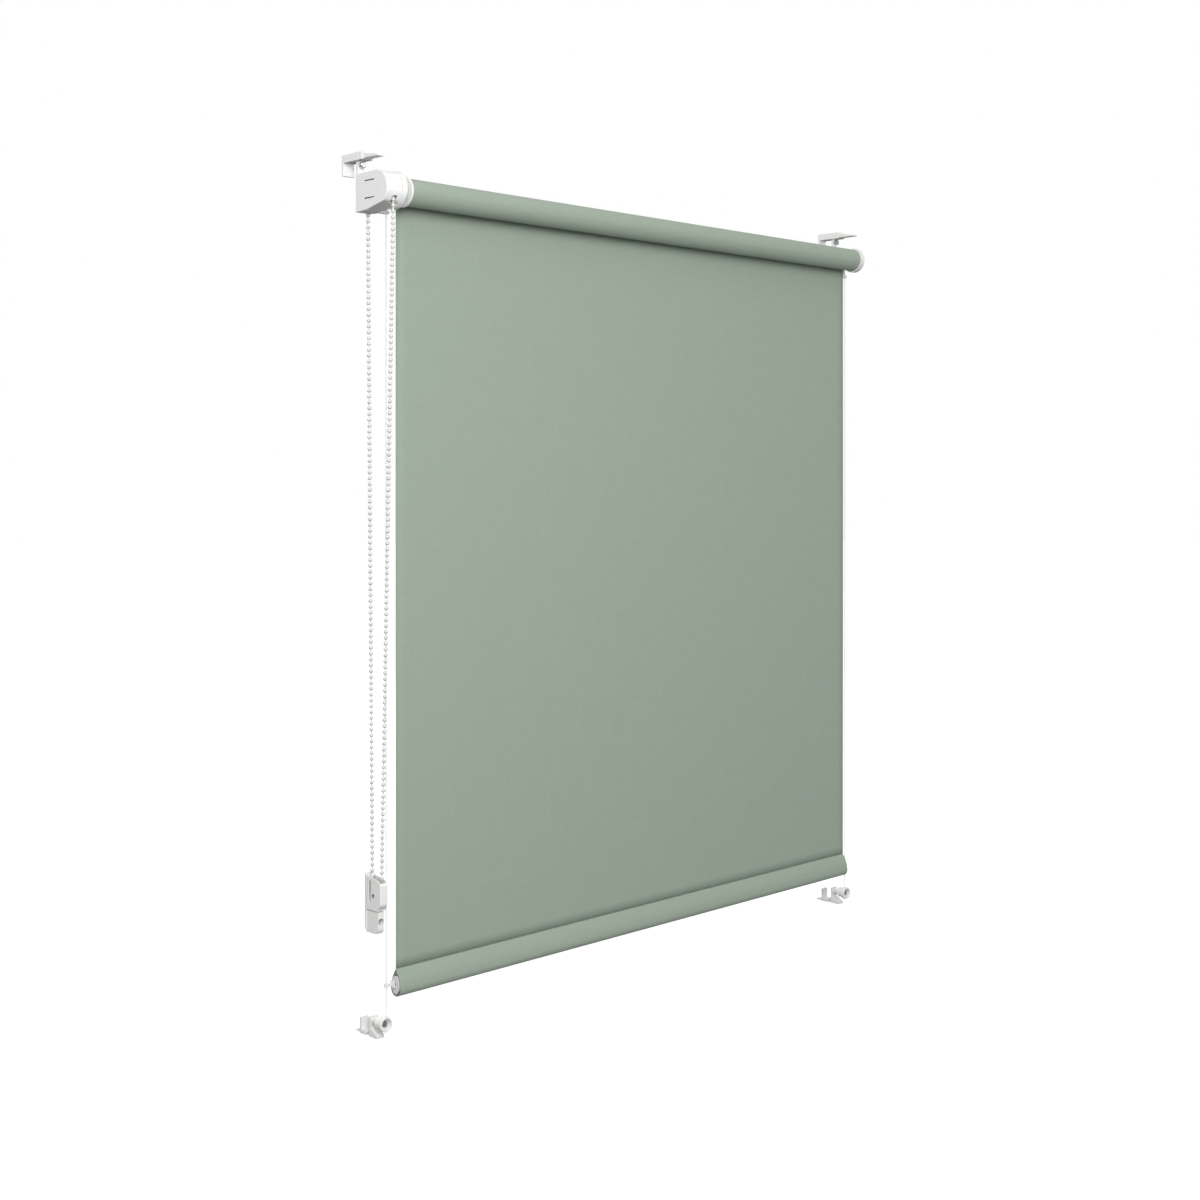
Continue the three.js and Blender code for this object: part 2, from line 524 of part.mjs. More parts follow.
// One ring of the tube at each point of the route, square to the bisector there.
function tubeAlong(points, radius, sides) {
  const position = [];
  const index = [];
  points.forEach(([y, z], i) => {
    const before = points[Math.max(i - 1, 0)];
    const after = points[Math.min(i + 1, points.length - 1)];
    const along = new THREE.Vector2(after[0] - before[0], after[1] - before[1]).normalize();
    for (let k = 0; k < sides; k += 1) {
      const angle = 2 * Math.PI * k / sides;
      const out = radius * Math.cos(angle);
      position.push(CHAIN_X + radius * Math.sin(angle), y - along.y * out, z + along.x * out);
    }
  });
  const rings = points.length;
  for (let i = 0; i + 1 < rings; i += 1) {
    for (let k = 0; k < sides; k += 1) {
      const [a, b] = [i * sides + k, i * sides + (k + 1) % sides];
      index.push(a, b, a + sides, b, b + sides, a + sides);
    }
  }
  for (let k = 1; k + 1 < sides; k += 1) {
    index.push(0, k + 1, k);
    const last = (rings - 1) * sides;
    index.push(last, last + k, last + k + 1);
  }
  const geometry = new THREE.BufferGeometry();
  geometry.setAttribute('position', new THREE.Float32BufferAttribute(position, 3));
  geometry.setIndex(index);
  return geometry;
}
add('bead_chain', tubeAlong(route, CHAIN_D / 2, 8), white);

// ---- chain holder ----
const PULLEY_GROOVE_HALF = CHAIN_D / 2 + PULLEY_SIDE;
const PULLEY_HALF = PULLEY_GROOVE_HALF + PULLEY_CHEEK_T;
const CAVITY_HALF = PULLEY_HALF + 0.4;
const HOLDER_HALF = CAVITY_HALF + HOLDER_WALL;
const HX0 = CHAIN_X - HOLDER_HALF;
const HX1 = CHAIN_X + HOLDER_HALF;
const CAVITY_R = PULLEY_PITCH_R + CHAIN_D / 2 + 0.6;
const BODY_R = CAVITY_R + 1.3;
const HOLDER_TOP = PULLEY_Z + 20;
const HOLDER_BOTTOM = PULLEY_Z - 39;
const WAIST_Z = PULLEY_Z - 16;   // top of the lower block
const HOLDER_SCREW_Z = PULLEY_Z - 26;
const PLATE_Y0 = PULLEY_Y + BODY_R + GAP;
const PLATE_T = 1.8;
const BLOCK_Y0 = PLATE_Y0 - 19;

// The lower block's front foot is rounded off.
function lowerBlock() {
  const shape = new THREE.Shape();
  shape.moveTo(PLATE_Y0 + 1, WAIST_Z);
  shape.lineTo(BLOCK_Y0, WAIST_Z);
  shape.lineTo(BLOCK_Y0, HOLDER_BOTTOM + 7);
  shape.quadraticCurveTo(BLOCK_Y0, HOLDER_BOTTOM, BLOCK_Y0 + 7, HOLDER_BOTTOM);
  shape.lineTo(PLATE_Y0 + 1, HOLDER_BOTTOM);
  return shape;
}
add('holder_plate', cut([
  block(HX0, HX1, PLATE_Y0, PLATE_Y0 + PLATE_T, HOLDER_BOTTOM + 3, HOLDER_TOP + 2),
  prismX(lowerBlock(), HX0 + 1, HX1 - 1),
], [
  rodY(1.7, PLATE_Y0 - 24, PLATE_Y0 + 5, CHAIN_X, HOLDER_SCREW_Z, 16),
  rodY(3.4, PLATE_Y0 - 24, PLATE_Y0 - 4, CHAIN_X, HOLDER_SCREW_Z, 16),
]), white);

// The body's front falls from a sloping shoulder and curves back to the lower block.
function holderOutline() {
  const front = PULLEY_Y - BODY_R;
  const rear = PULLEY_Y + BODY_R;
  const shape = new THREE.Shape();
  shape.moveTo(rear, HOLDER_TOP);
  shape.lineTo(rear, WAIST_Z + 1);
  shape.lineTo(BLOCK_Y0, WAIST_Z + 1);
  shape.bezierCurveTo(BLOCK_Y0, WAIST_Z + 5, front, WAIST_Z + 4, front, WAIST_Z + 10);
  shape.lineTo(front, HOLDER_TOP - 9);
  shape.quadraticCurveTo(front, HOLDER_TOP - 5, front + 5, HOLDER_TOP - 3.5);
  shape.lineTo(rear, HOLDER_TOP);
  return shape;
}
const AXLE_R = 1.8;
add('holder_body', cut([
  prismX(holderOutline(), HX0, HX1, [], 8),
], [
  rodX(CAVITY_R, HX0 + HOLDER_WALL, HX1 - HOLDER_WALL, PULLEY_Y, PULLEY_Z, 32),
  block(HX0 + HOLDER_WALL, HX1 - HOLDER_WALL, PULLEY_Y - CAVITY_R, PULLEY_Y + CAVITY_R,
    PULLEY_Z, HOLDER_TOP + 5),
  block(HX0 - 1, HX0 + 2, PULLEY_Y + 4, PULLEY_Y + 8, PULLEY_Z - 7, PULLEY_Z + 15),
  rodX(AXLE_R + GAP, HX0 - 1, HX1 + 1, PULLEY_Y, PULLEY_Z, 20),
]), white);
const PULLEY_GROOVE = PULLEY_PITCH_R - CHAIN_D / 2 - GAP;
const PULLEY_R = PULLEY_PITCH_R - 0.1;
add('holder_pulley', turnedX([
  [AXLE_R + GAP, CHAIN_X - PULLEY_HALF], [PULLEY_R, CHAIN_X - PULLEY_HALF],
  [PULLEY_R, CHAIN_X - PULLEY_GROOVE_HALF], [PULLEY_GROOVE, CHAIN_X - PULLEY_GROOVE_HALF],
  [PULLEY_GROOVE, CHAIN_X + PULLEY_GROOVE_HALF], [PULLEY_R, CHAIN_X + PULLEY_GROOVE_HALF],
  [PULLEY_R, CHAIN_X + PULLEY_HALF], [AXLE_R + GAP, CHAIN_X + PULLEY_HALF],
  [AXLE_R + GAP, CHAIN_X - PULLEY_HALF],
], PULLEY_Y, PULLEY_Z, 28), pale);
add('holder_axle', rodX(AXLE_R, HX0 + 0.1, HX1 - 0.1, PULLEY_Y, PULLEY_Z, 20), steel);
const SCREW_HEAD_Y = PLATE_Y0 - 4;
add('holder_screw', turnedY([
  [0, SCREW_HEAD_Y - 2], [3, SCREW_HEAD_Y - 2], [3, SCREW_HEAD_Y - GAP],
  [1.4, SCREW_HEAD_Y - GAP], [1.4, PLATE_Y0 + PLATE_T], [0, PLATE_Y0 + PLATE_T],
], CHAIN_X, HOLDER_SCREW_Z, 16), steel);
add('holder_pad', block(HX0 + 0.5, HX1 - 0.5, PLATE_Y0 + PLATE_T + GAP,
  PLATE_Y0 + PLATE_T + GAP + 1, HOLDER_BOTTOM + 5, HOLDER_TOP), pale);

export default blind;
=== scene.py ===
# %% [markdown]
# # A clamp-on roller blind
# The blind hangs from two clamps on a window sash. A bead chain turns the roller through a
# drive at the left end, and two thin cords guide the bottom bar. The fittings come from the
# measured frame, which already has every size and joint, and this lesson gives them their
# moulded edges, cloth, beads and finishes. Working from the frame keeps each piece in place.

# %% Load the frame and keep its box
import json
import math

import bmesh
import bpy
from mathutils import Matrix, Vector


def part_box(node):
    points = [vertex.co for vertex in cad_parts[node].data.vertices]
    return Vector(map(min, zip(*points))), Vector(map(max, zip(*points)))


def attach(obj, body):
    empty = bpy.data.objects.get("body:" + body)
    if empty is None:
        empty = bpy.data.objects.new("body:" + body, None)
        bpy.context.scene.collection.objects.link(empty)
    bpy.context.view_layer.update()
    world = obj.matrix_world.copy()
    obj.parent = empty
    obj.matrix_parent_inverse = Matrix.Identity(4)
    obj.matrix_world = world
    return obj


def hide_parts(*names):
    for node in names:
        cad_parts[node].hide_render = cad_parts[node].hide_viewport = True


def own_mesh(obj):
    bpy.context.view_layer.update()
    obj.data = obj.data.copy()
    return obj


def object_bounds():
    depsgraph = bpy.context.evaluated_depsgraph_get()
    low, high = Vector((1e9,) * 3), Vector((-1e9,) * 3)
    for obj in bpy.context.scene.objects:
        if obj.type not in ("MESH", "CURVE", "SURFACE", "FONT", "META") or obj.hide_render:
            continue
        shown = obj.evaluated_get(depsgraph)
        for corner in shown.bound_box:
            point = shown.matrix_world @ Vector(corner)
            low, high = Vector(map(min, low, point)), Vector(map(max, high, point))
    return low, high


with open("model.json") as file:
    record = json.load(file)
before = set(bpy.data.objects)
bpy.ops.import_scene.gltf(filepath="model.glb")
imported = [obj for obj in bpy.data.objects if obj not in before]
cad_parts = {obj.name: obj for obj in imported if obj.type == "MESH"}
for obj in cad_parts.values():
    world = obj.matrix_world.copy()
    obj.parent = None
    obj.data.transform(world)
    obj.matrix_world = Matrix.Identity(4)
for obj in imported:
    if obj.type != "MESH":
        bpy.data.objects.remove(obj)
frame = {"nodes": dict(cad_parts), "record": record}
cad_box = [list(corner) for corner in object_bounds()]
MM = 0.001
print("frame box", cad_box)

# %% [markdown]
# ## The camera
# The eye is level and stands at the left, so upright edges stay upright and the cloth's top
# and bottom run together towards the far end. A small downward shift keeps the whole drop in
# view without tilting the camera, which would make the sides lean.

# %% Camera
EYE = Vector((-1.0306, -1.4088, -0.3287))
TURN = math.radians(-44.585)
lens = bpy.data.cameras.new("eye")
lens.lens, lens.sensor_width, lens.shift_y = 50, 36, -0.1
camera = bpy.data.objects.new("eye", lens)
camera.location, camera.rotation_euler = EYE, (math.pi / 2, 0, TURN)
bpy.context.collection.objects.link(camera)
bpy.context.scene.camera = camera
print(f"eye {(EYE - Vector((0.4, 0, -0.4))).length:.2f} m from the middle of the cloth")

# %% [markdown]
# ## Small helpers
# A finished piece is a plain mesh at the origin, with its place in its vertices, so that
# patterns made from object coordinates stay put. Each helper takes one job: make the object,
# turn a modifier stack into a mesh, and say which body it rides on.

# %% Making and placing pieces
def mesh_piece(name, points, faces):
    """A smooth mesh from points and faces, merged and facing outwards."""
    mesh = bpy.data.meshes.new(name)
    mesh.from_pydata([tuple(p) for p in points], [], faces)
    mesh.update()
    work = bmesh.new()
    work.from_mesh(mesh)
    bmesh.ops.remove_doubles(work, verts=work.verts, dist=1e-7)
    bmesh.ops.recalc_face_normals(work, faces=work.faces)
    work.to_mesh(mesh)
    work.free()
    mesh.polygons.foreach_set("use_smooth", [True] * len(mesh.polygons))
    piece = bpy.data.objects.new(name, mesh)
    bpy.context.collection.objects.link(piece)
    return piece


def applied(piece):
    """The piece with its modifiers turned into plain geometry."""
    graph = bpy.context.evaluated_depsgraph_get()
    mesh = bpy.data.meshes.new_from_object(piece.evaluated_get(graph))
    piece.modifiers.clear()
    piece.data = mesh
    return piece


def finish_piece(piece, body, slot, material, *nodes):
    """Paint a piece, put it on its body, and say which frame solids it stands for. The slot is not
    used.
    """
    piece.data.materials.clear()
    piece.data.materials.append(material)
    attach(piece, body)
    if nodes:
        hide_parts(*nodes)
    return piece


# %% [markdown]
# ## Shader groups
# Moulded plastic is never one flat colour: it has a faint mottle and a fine grain that breaks up
# the highlight. One group makes that variation and every plastic uses it with its own amounts.
# The cloth's weave is a second group, two crossed sets of threads, because the panel, the roll
# and the hem share one fabric.

# %% A group with named inputs and outputs
def new_group(name, inputs, outputs):
    group = bpy.data.node_groups.new(name, "ShaderNodeTree")
    for label, kind, value in inputs:
        socket = group.interface.new_socket(label, in_out="INPUT", socket_type=kind)
        socket.default_value = value
    for label, kind in outputs:
        group.interface.new_socket(label, in_out="OUTPUT", socket_type=kind)
    return group, group.nodes.new("NodeGroupInput"), group.nodes.new("NodeGroupOutput")


def node(tree, kind, **values):
    made = tree.nodes.new(kind)
    for key, value in values.items():
        if key in made.inputs:
            made.inputs[key].default_value = value
        else:
            setattr(made, key, value)
    return made


MIX_A, MIX_B, MIX_OUT = 6, 7, 2               # the colour sockets of a Mix node


def math_node(tree, operation, a, b=None):
    made = node(tree, "ShaderNodeMath", operation=operation)
    for socket, value in zip(made.inputs, (a, b)):
        if isinstance(value, bpy.types.NodeSocket):
            tree.links.new(value, socket)
        elif value is not None:
            socket.default_value = value
    return made.outputs[0]


# %% The mottle of moulded parts
mottle, into, out = new_group(
    "moulded_mottle",
    [
        ("Light", "NodeSocketColor", (1, 1, 1, 1)),
        ("Dark", "NodeSocketColor", (0.5, 0.5, 0.5, 1)),
        ("Scale", "NodeSocketFloat", 60.0),
        ("Roughness", "NodeSocketFloat", 0.4),
        ("Spread", "NodeSocketFloat", 0.1),
    ],
    [("Color", "NodeSocketColor"), ("Roughness", "NodeSocketFloat"), ("Height", "NodeSocketFloat")],
)
place = node(mottle, "ShaderNodeTexCoord")
broad = node(mottle, "ShaderNodeTexNoise", Detail=3.0)
fine = node(mottle, "ShaderNodeTexNoise", Scale=2600.0, Detail=2.0)
blend = node(mottle, "ShaderNodeMix", data_type="RGBA")
mottle.links.new(place.outputs["Object"], broad.inputs["Vector"])
mottle.links.new(place.outputs["Object"], fine.inputs["Vector"])
mottle.links.new(into.outputs["Scale"], broad.inputs["Scale"])
mottle.links.new(broad.outputs["Fac"], blend.inputs[0])
mottle.links.new(into.outputs["Light"], blend.inputs[MIX_A])
mottle.links.new(into.outputs["Dark"], blend.inputs[MIX_B])
mottle.links.new(blend.outputs[MIX_OUT], out.inputs["Color"])
swing = math_node(mottle, "MULTIPLY", broad.outputs["Fac"], into.outputs["Spread"])
rough = math_node(mottle, "ADD", swing, into.outputs["Roughness"])
mottle.links.new(rough, out.inputs["Roughness"])
mottle.links.new(fine.outputs["Fac"], out.inputs["Height"])
print(mottle.name, len(mottle.nodes), "nodes")

# %% The weave of the cloth
weave, into, out = new_group(
    "plain_weave",
    [
        ("Thread", "NodeSocketColor", (0.3, 0.4, 0.3, 1)),
        ("Gap", "NodeSocketColor", (0.2, 0.3, 0.2, 1)),
        ("Slub", "NodeSocketColor", (0.4, 0.45, 0.4, 1)),
        ("Threads", "NodeSocketFloat", 9000.0),
    ],
    [("Color", "NodeSocketColor"), ("Height", "NodeSocketFloat"), ("Roughness", "NodeSocketFloat")],
)
place = node(weave, "ShaderNodeTexCoord")
split = node(weave, "ShaderNodeSeparateXYZ")
weave.links.new(place.outputs["Object"], split.inputs[0])
waves = []
for axis in ("X", "Z"):
    run = math_node(weave, "MULTIPLY", split.outputs[axis], into.outputs["Threads"])
    waves.append(math_node(weave, "SINE", run))
cross = math_node(weave, "MULTIPLY", waves[0], waves[1])
half = math_node(weave, "MULTIPLY", cross, 0.5)
height = math_node(weave, "ADD", half, 0.5)
ALONG, THROUGH = 40, 900                      # a slub is long one way and thin the other
stretch = node(weave, "ShaderNodeMapping")
stretch.inputs["Scale"].default_value = (ALONG, ALONG, THROUGH)
streak = node(weave, "ShaderNodeTexNoise", Scale=1.0, Detail=3.0)
upright = node(weave, "ShaderNodeMapping")
upright.inputs["Scale"].default_value = (THROUGH, THROUGH, ALONG)
streak_up = node(weave, "ShaderNodeTexNoise", Scale=1.0, Detail=3.0)
weave.links.new(place.outputs["Object"], stretch.inputs[0])
weave.links.new(place.outputs["Object"], upright.inputs[0])
weave.links.new(stretch.outputs[0], streak.inputs["Vector"])
weave.links.new(upright.outputs[0], streak_up.inputs["Vector"])
both = math_node(weave, "MULTIPLY", streak.outputs["Fac"], streak_up.outputs["Fac"])
body_colour = node(weave, "ShaderNodeMix", data_type="RGBA")
weave.links.new(height, body_colour.inputs[0])
weave.links.new(into.outputs["Gap"], body_colour.inputs[MIX_A])
weave.links.new(into.outputs["Thread"], body_colour.inputs[MIX_B])
slubbed = node(weave, "ShaderNodeMix", data_type="RGBA")
weave.links.new(both, slubbed.inputs[0])
weave.links.new(body_colour.outputs[MIX_OUT], slubbed.inputs[MIX_A])
weave.links.new(into.outputs["Slub"], slubbed.inputs[MIX_B])
weave.links.new(slubbed.outputs[MIX_OUT], out.inputs["Color"])
weave.links.new(height, out.inputs["Height"])
MATT, MATT_SPREAD = 0.75, 0.15
soft = math_node(weave, "MULTIPLY", streak.outputs["Fac"], MATT_SPREAD)
weave.links.new(math_node(weave, "ADD", soft, MATT), out.inputs["Roughness"])
print(weave.name, len(weave.nodes), "nodes")

# %% [markdown]
# ## Materials
# White mouldings are a slightly glossy plastic, the wheel and caps a duller one. Screws and
# pins are zinc plated, the tube and bar are drawn aluminium, and the cloth is a matt weave
# with a little sheen. Only what changes over a surface comes from the groups.

# %% Build each material
def shaded(name, group, values, bump, distance, **fixed):
    """A material whose colour, roughness and relief come from a shader group."""
    material = bpy.data.materials.new(name)
    material.use_nodes = True
    tree = material.node_tree
    shader = tree.nodes["Principled BSDF"]
    for key, value in fixed.items():
        shader.inputs[key.replace("_", " ")].default_value = value
    used = tree.nodes.new("ShaderNodeGroup")
    used.node_tree = group
    for key, value in values.items():
        used.inputs[key].default_value = value
    relief = node(tree, "ShaderNodeBump", Strength=bump, Distance=distance)
    tree.links.new(used.outputs["Color"], shader.inputs["Base Color"])
    tree.links.new(used.outputs["Roughness"], shader.inputs["Roughness"])
    tree.links.new(used.outputs["Height"], relief.inputs["Height"])
    tree.links.new(relief.outputs["Normal"], shader.inputs["Normal"])
    return material


MOTTLE_SCALE = 70.0
GRAIN, GRAIN_DEPTH = 0.12, 0.05 * MM


def plastic(name, light, dark, roughness, **fixed):
    """A moulded or metal finish, from its light and dark patches and its gloss."""
    values = {"Light": (*light, 1), "Dark": (*dark, 1), "Scale": MOTTLE_SCALE,
              "Roughness": roughness}
    return shaded(name, mottle, values, GRAIN, GRAIN_DEPTH, **fixed)


# %% The finishes of the blind
WHITE = plastic("white_moulding", (0.80, 0.80, 0.79), (0.755, 0.755, 0.745), 0.32,
                Subsurface_Weight=0.05, Subsurface_Scale=0.002)
PALE = plastic("pale_moulding", (0.70, 0.70, 0.69), (0.62, 0.62, 0.61), 0.42)
BEADS = plastic("bead_moulding", (0.68, 0.68, 0.67), (0.58, 0.58, 0.57), 0.25)
CORD = plastic("coated_cord", (0.80, 0.82, 0.83), (0.70, 0.72, 0.73), 0.45)
FOAM = plastic("foam_tape", (0.72, 0.72, 0.70), (0.60, 0.60, 0.58), 0.8)
STEEL = plastic("zinc_plate", (0.62, 0.63, 0.65), (0.48, 0.49, 0.52), 0.22, Metallic=1.0)
ALUMINIUM = plastic("drawn_aluminium", (0.78, 0.79, 0.80), (0.68, 0.69, 0.71), 0.28, Metallic=1.0)
SAGE = {"Thread": (0.288, 0.352, 0.284, 1), "Gap": (0.225, 0.278, 0.224, 1),
        "Slub": (0.345, 0.405, 0.330, 1)}
CLOTH = shaded("sage_weave", weave, SAGE, 0.35, 0.12 * MM, Sheen_Weight=0.15, Sheen_Roughness=0.5)
THREAD = shaded("sewing_thread", weave,
                {"Thread": (0.13, 0.17, 0.13, 1), "Gap": (0.09, 0.12, 0.09, 1),
                 "Slub": (0.16, 0.20, 0.16, 1)}, 0.3, 0.1 * MM)
print(len(bpy.data.materials), "materials so far")

# %% [markdown]
# ## The bead chain and the guide cords
# The chain is an endless loop: up in front, over the wheel, back over a guide and down to the
# holder's pulley. Its string is one open line whose ends meet under the pulley. The beads sit
# on that line at an even pitch, which is a job for Geometry Nodes: a curve gives the places
# and a small ball is copied to each. The two guide cords are straight and held at both ends.

# %% The chain's route, from the same sizes as the frame
wheel_low, wheel_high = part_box("chain_wheel")
pulley_low, pulley_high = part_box("holder_pulley")
roll_low, roll_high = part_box("wound_cloth")
axis_y, axis_z = (roll_low.y + roll_high.y) / 2, (roll_low.z + roll_high.z) / 2
chain_low, chain_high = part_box("bead_chain")
BEAD_D = 4.5 * MM
BEAD_PITCH = 6.0 * MM
chain_x = (chain_low.x + chain_high.x) / 2
rear_y = chain_high.y - BEAD_D / 2
WHEEL_R, GUIDE_R, PULLEY_R = 13.5 * MM, 8.7 * MM, 7.5 * MM
pulley_y, pulley_z = (pulley_low.y + pulley_high.y) / 2, (pulley_low.z + pulley_high.z) / 2
STRING_START, STRING_STOP = -1.62, -1.52  # angles of the two ends, side by side under the pulley


def arc(y, z, radius, start, end, count):
    """Points round part of a circle in the chain's plane."""
    steps = [start + (end - start) * i / count for i in range(count + 1)]
    return [(chain_x, y + radius * math.cos(a), z + radius * math.sin(a)) for a in steps]


guide = (rear_y - GUIDE_R, axis_z + WHEEL_R - GUIDE_R)
route = (
    arc(pulley_y, pulley_z, PULLEY_R, STRING_START, -math.pi, 8)
    + arc(axis_y, axis_z, WHEEL_R, math.pi, math.pi / 2, 10)
    + arc(*guide, GUIDE_R, math.pi / 2, 0, 8)
    + arc(pulley_y, pulley_z, PULLEY_R, 0, STRING_STOP, 8)
)


# %% Cords are curves of one open spline
def line_curve(name, points):
    """A curve of straight steps through the points."""
    curve = bpy.data.curves.new(name, "CURVE")
    curve.dimensions = "3D"
    spline = curve.splines.new("POLY")
    spline.points.add(len(points) - 1)
    for spot, point in zip(spline.points, points):
        spot.co = (*point, 1)
    return curve


def cord_curve(name, points, diameter, material, body, slot, *nodes):
    """A round cord along the points, finished like any other piece."""
    curve = line_curve(name, points)
    curve.bevel_depth, curve.bevel_resolution = diameter / 2, 3
    curve.use_fill_caps = True
    piece = bpy.data.objects.new(name, curve)
    bpy.context.collection.objects.link(piece)
    return finish_piece(piece, body, slot, material, *nodes)


STRING_D = 1.5 * MM
string = cord_curve("chain_string", route, STRING_D, CORD, "root", "chain", "bead_chain")
print("chain string of", len(route), "points")

# %% Geometry Nodes put a bead at every pitch
def copies_tree(name, shape_node, material, turn):
    """The nodes that place copies, and the sockets for their spacing and size."""
    tree = bpy.data.node_groups.new(name, "GeometryNodeTree")
    tree.interface.new_socket("Geometry", in_out="INPUT", socket_type="NodeSocketGeometry")
    pitch = tree.interface.new_socket("Spacing", in_out="INPUT", socket_type="NodeSocketFloat")
    size = tree.interface.new_socket("Size", in_out="INPUT", socket_type="NodeSocketFloat")
    tree.interface.new_socket("Geometry", in_out="OUTPUT", socket_type="NodeSocketGeometry")
    into, out = tree.nodes.new("NodeGroupInput"), tree.nodes.new("NodeGroupOutput")
    along = node(tree, "GeometryNodeCurveToPoints", mode="LENGTH")
    copies = tree.nodes.new("GeometryNodeInstanceOnPoints")
    ball = node(tree, shape_node["kind"], **shape_node["values"])
    real = tree.nodes.new("GeometryNodeRealizeInstances")
    paint = tree.nodes.new("GeometryNodeSetMaterial")
    paint.inputs["Material"].default_value = material
    tree.links.new(into.outputs["Geometry"], along.inputs[0])
    tree.links.new(into.outputs["Spacing"], along.inputs["Length"])
    tree.links.new(into.outputs["Size"], ball.inputs["Radius"])
    tree.links.new(along.outputs["Points"], copies.inputs["Points"])
    tree.links.new(ball.outputs["Mesh"], copies.inputs["Instance"])
    if turn:
        tree.links.new(along.outputs["Rotation"], copies.inputs["Rotation"])
        copies.inputs["Scale"].default_value = shape_node["scale"]
    tree.links.new(copies.outputs[0], real.inputs[0])
    tree.links.new(real.outputs[0], paint.inputs[0])
    tree.links.new(paint.outputs[0], out.inputs[0])
    return tree, pitch, size


def repeated(name, line, spacing, shape_node, material, turn=False):
    """A mesh with one copy of a small shape at each step along a line."""
    tree, pitch, size = copies_tree(name, shape_node, material, turn)
    holder = bpy.data.objects.new(name + "_line", line_curve(name, line))
    bpy.context.collection.objects.link(holder)
    modifier = holder.modifiers.new("copies", "NODES")
    modifier.node_group = tree
    modifier[pitch.identifier] = spacing
    modifier[size.identifier] = shape_node["size"]
    graph = bpy.context.evaluated_depsgraph_get()
    mesh = bpy.data.meshes.new_from_object(holder.evaluated_get(graph))
    bpy.data.objects.remove(holder)
    mesh.polygons.foreach_set("use_smooth", [True] * len(mesh.polygons))
    piece = bpy.data.objects.new(name, mesh)
    bpy.context.collection.objects.link(piece)
    print(name, len(mesh.polygons), "faces")
    return piece


# %% The beads
bead = {"kind": "GeometryNodeMeshUVSphere", "values": {"Segments": 10, "Rings": 6}, "size": BEAD_D / 2}
beads = repeated("chain_beads", route, BEAD_PITCH, bead, BEADS)
finish_piece(beads, "root", "chain", BEADS)

# %% Two straight guide cords, each with its knot above the lug
GUIDE_D = 1.2 * MM
STEPS_DOWN = 12
KNOT_R = KNOT_D = 0.9 * MM
KNOT_STEPS, KNOT_STEP, KNOT_RISE = 38, 0.5, 0.05 * MM
for side in ("left", "right"):
    low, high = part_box(f"{side}_guide_wire")
    knot_x, knot_y = (low.x + high.x) / 2, (low.y + high.y) / 2
    top, foot = high.z - 1.0 * MM, low.z        # the top end is inside the lug
    line = [(knot_x, knot_y, top + (foot - top) * i / STEPS_DOWN) for i in range(STEPS_DOWN + 1)]
    guide_cord = cord_curve(f"{side}_guide_cord", line, GUIDE_D, CORD, "root", "wire",
                            f"{side}_guide_wire")
    knot_z = high.z - 2.2 * MM
    turns = [(knot_x + KNOT_R * math.cos(a * KNOT_STEP), knot_y + KNOT_R * math.sin(a * KNOT_STEP),
              knot_z + KNOT_RISE * a) for a in range(KNOT_STEPS)]
    knot = cord_curve(f"{side}_cord_knot", turns, KNOT_D, CORD, "root", "wire")
    print(side, "guide cord", round(top - foot, 3), "m")

# %% [markdown]
# ## The cloth
# The cloth is one strip. Part of it is wound on the tube, part hangs behind the roll, and its
# lower end is folded round the bar and stitched. The wound part is a true spiral, so its ends
# show the layers. The hanging part is a grid with a very slight wave, as a weighted cloth
# hangs almost flat. It gets thickness last, so that both faces stay parallel.

# %% The wound part, a spiral of layers
CLOTH_T = 0.28 * MM
TUBE_R = 12.5 * MM
roll_r = (roll_high.z - roll_low.z) / 2
x0, x1 = roll_low.x, roll_high.x
LAYER = CLOTH_T + 0.02 * MM                   # cloth and the air between two turns
CORE_GAP = 0.35 * MM
layers = (roll_r - TUBE_R - CORE_GAP) / LAYER
STEPS = 72
points, faces = [], []
total = int(layers * STEPS)
for i in range(total + 1):
    angle = 2 * math.pi * i / STEPS
    centre = roll_r - CLOTH_T / 2 - LAYER * i / STEPS
    for x in (x0, x1):
        for r in (centre + CLOTH_T / 2, centre - CLOTH_T / 2):
            points.append((x, axis_y + r * math.cos(angle), axis_z + r * math.sin(angle)))
for i in range(total):
    a, b = 4 * i, 4 * i + 4
    faces += [(a, b, b + 2, a + 2), (a + 1, a + 3, b + 3, b + 1)]
    faces += [(a, a + 1, b + 1, b), (a + 2, b + 2, b + 3, a + 3)]
last = 4 * total
faces += [(0, 2, 3, 1), (last, last + 1, last + 3, last + 2)]
wound = mesh_piece("wound_roll", points, faces)
wound.data.set_sharp_from_angle(angle=math.radians(40))
finish_piece(wound, "roller", "cloth", CLOTH, "wound_cloth")
print(f"{layers:.1f} layers, about {layers * math.pi * (roll_r + TUBE_R):.2f} m of cloth on the tube")

# %% The hanging part
panel_low, panel_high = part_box("cloth_panel")
panel_y = (panel_low.y + panel_high.y) / 2
panel_foot = panel_low.z - 0.9 * MM          # reaches just inside the hem
ACROSS, DOWN = 60, 66
WAVE, WAVES_ACROSS, WAVE_START = 0.25 * MM, 1.5, 0.2
points, faces = [], []
for j in range(DOWN + 1):
    v = j / DOWN
    for i in range(ACROSS + 1):
        u = i / ACROSS
        phase = 2 * math.pi * (WAVES_ACROSS * u + WAVE_START)
        wave = WAVE * math.sin(phase) * math.sin(math.pi * v)
        points.append((x0 + (x1 - x0) * u, panel_y + wave,
                       panel_high.z + (panel_foot - panel_high.z) * v))
for j in range(DOWN):
    for i in range(ACROSS):
        a = j * (ACROSS + 1) + i
        faces.append((a, a + 1, a + ACROSS + 2, a + ACROSS + 1))
panel = mesh_piece("hanging_cloth", points, faces)
thicken = panel.modifiers.new("thickness", "SOLIDIFY")
thicken.thickness, thicken.offset = CLOTH_T, 0
applied(panel)
